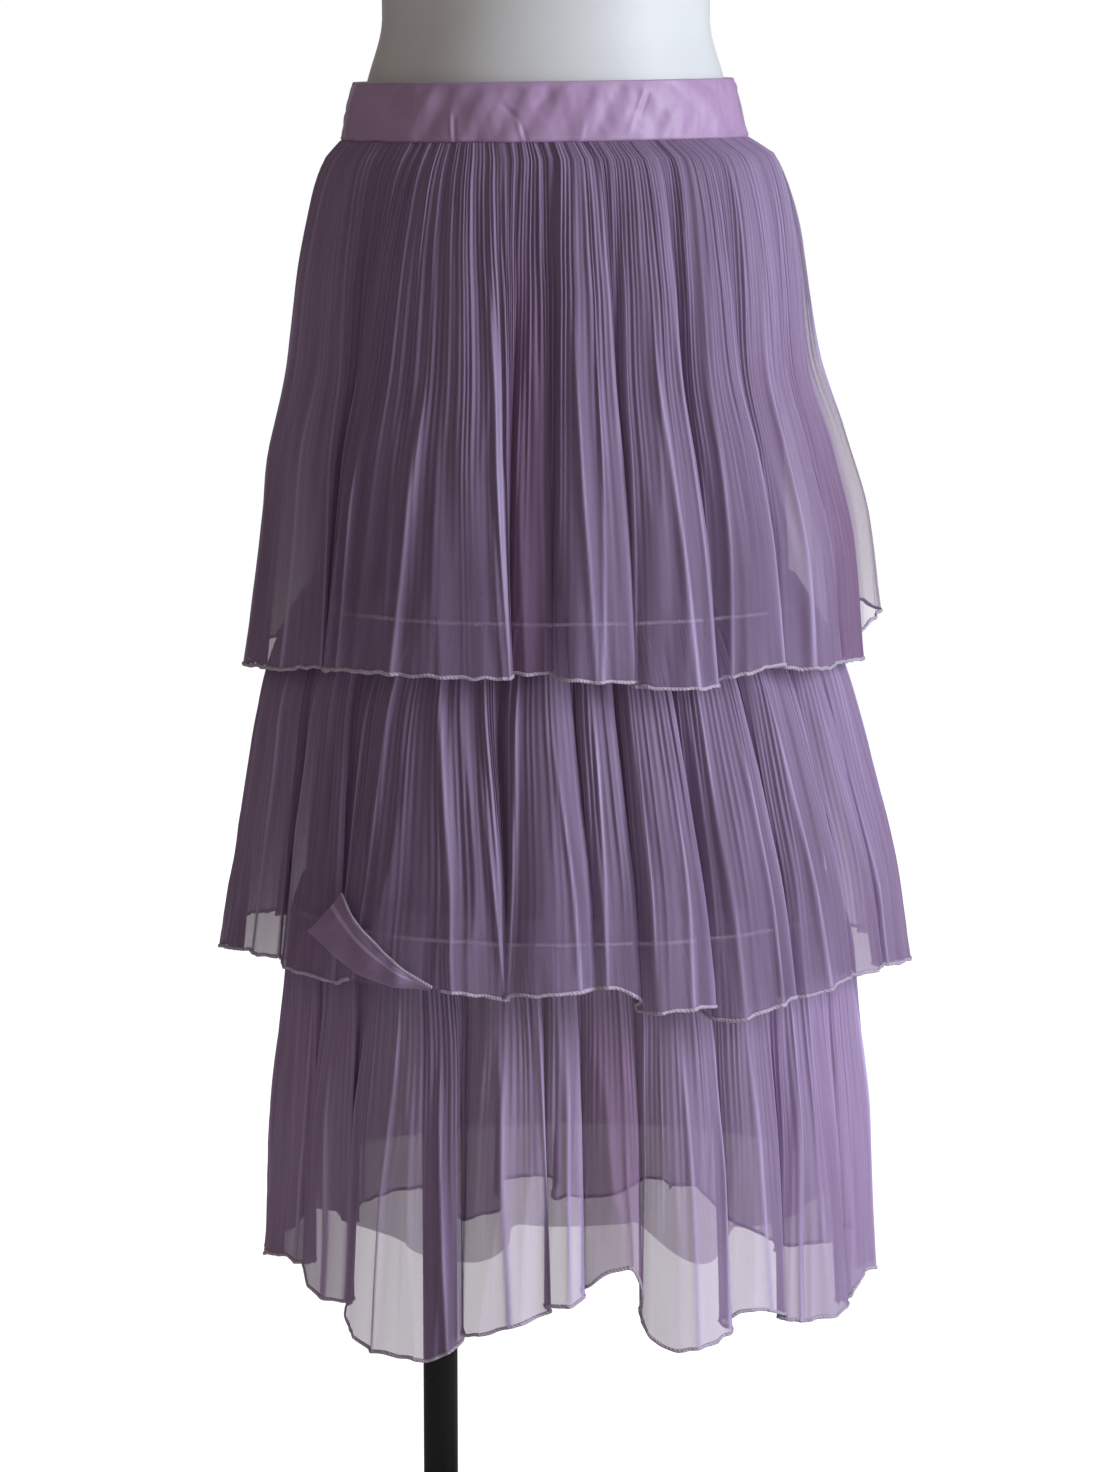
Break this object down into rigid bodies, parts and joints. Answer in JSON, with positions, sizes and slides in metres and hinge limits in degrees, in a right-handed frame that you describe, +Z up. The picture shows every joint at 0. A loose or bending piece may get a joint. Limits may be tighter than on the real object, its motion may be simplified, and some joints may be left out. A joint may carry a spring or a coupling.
{
  "type": "tiered pleated skirt on a limbless dress form with a pole stand",
  "caption": "Sheer, finely pleated, tiered midi skirt with a flat satin waistband, worn by a limbless dress form on a pole stand.",
  "frame": {"origin": "on the floor under the middle of the dress form, at the centre of the stand base's underside", "axes": "+Z up, the skirt's front faces -Y, and +X is the wearer's left"},
  "size_m": [0.4871, 0.4134, 1.59],
  "materials": {
    "mesh": "sheer, fine crystal pleating, soft",
    "satin": "satin sheen",
    "lining": "plain woven, matte",
    "form": "smooth, slightly satin",
    "stand": "satin black"
  },
  "bodies": {
    "root": {"dress_form": "form", "lining_back": "lining", "lining_front": "lining", "pole_collar": "stand", "pole_socket": "stand", "stand_base": "stand", "stand_pole": "stand", "tier_1_back": "mesh", "tier_1_front": "mesh", "tier_2_back": "mesh", "tier_2_front": "mesh", "tier_2_turned_hem": "mesh", "tier_3_back": "mesh", "tier_3_front": "mesh", "underskirt_back": "mesh", "underskirt_front": "mesh", "waistband_back": "satin", "waistband_front": "satin"}
  },
  "joints": []
}
